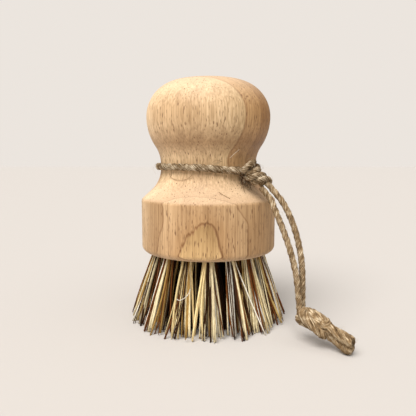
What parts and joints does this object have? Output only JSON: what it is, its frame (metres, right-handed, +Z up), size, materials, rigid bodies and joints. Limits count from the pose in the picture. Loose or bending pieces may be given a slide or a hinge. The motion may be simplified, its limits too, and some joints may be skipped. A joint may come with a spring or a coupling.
{
  "type": "dish brush",
  "caption": "Round wooden dish brush with a turned knob handle, splayed plant-fibre tufts in drilled holes under the head, and a knotted twine hanger that turns on the neck.",
  "frame": {"origin": "middle of the trimmed bristle face, on the axis of the handle", "axes": "+Z up along the axis of the handle, -Y to the front, the hanger hangs to the front right"},
  "size_m": [0.0822, 0.0768, 0.0976],
  "materials": {
    "wood": "sanded and lightly oiled",
    "cream_fibre": "natural plant fibre",
    "brown_fibre": "natural plant fibre",
    "anchor_wire": "drawn flat wire",
    "twine": "two-ply jute"
  },
  "bodies": {
    "brush": {"anchor_centre": "anchor_wire", "anchors_inner": "anchor_wire", "anchors_middle": "anchor_wire", "anchors_outer": "anchor_wire", "handle": "wood", "tuft_centre": "brown_fibre", "tuft_inner_01": "brown_fibre", "tuft_inner_02": "brown_fibre", "tuft_inner_03": "brown_fibre", "tuft_inner_04": "brown_fibre", "tuft_inner_05": "brown_fibre", "tuft_middle_01": "brown_fibre", "tuft_middle_02": "brown_fibre", "tuft_middle_03": "brown_fibre", "tuft_middle_04": "brown_fibre", "tuft_middle_05": "brown_fibre", "tuft_middle_06": "brown_fibre", "tuft_middle_07": "brown_fibre", "tuft_middle_08": "brown_fibre", "tuft_middle_09": "brown_fibre", "tuft_middle_10": "brown_fibre", "tuft_middle_11": "brown_fibre", "tuft_outer_01": "cream_fibre", "tuft_outer_02": "cream_fibre", "tuft_outer_03": "cream_fibre", "tuft_outer_04": "cream_fibre", "tuft_outer_05": "cream_fibre", "tuft_outer_06": "cream_fibre", "tuft_outer_07": "cream_fibre", "tuft_outer_08": "cream_fibre", "tuft_outer_09": "cream_fibre", "tuft_outer_10": "cream_fibre", "tuft_outer_11": "cream_fibre", "tuft_outer_12": "cream_fibre", "tuft_outer_13": "cream_fibre", "tuft_outer_14": "cream_fibre", "tuft_outer_15": "cream_fibre", "tuft_outer_16": "cream_fibre"},
    "hanger": {"neck_loop": "twine", "neck_knot": "twine", "hanging_strand_left": "twine", "hanging_strand_right": "twine", "end_knot": "twine", "frayed_ends": "twine"}
  },
  "joints": [
    {"name": "hanger_turn", "type": "hinge", "parent": "brush", "child": "hanger", "pos_m": [0, 0, 0.0616], "axis": [0, 0, 1], "continuous": true}
  ]
}
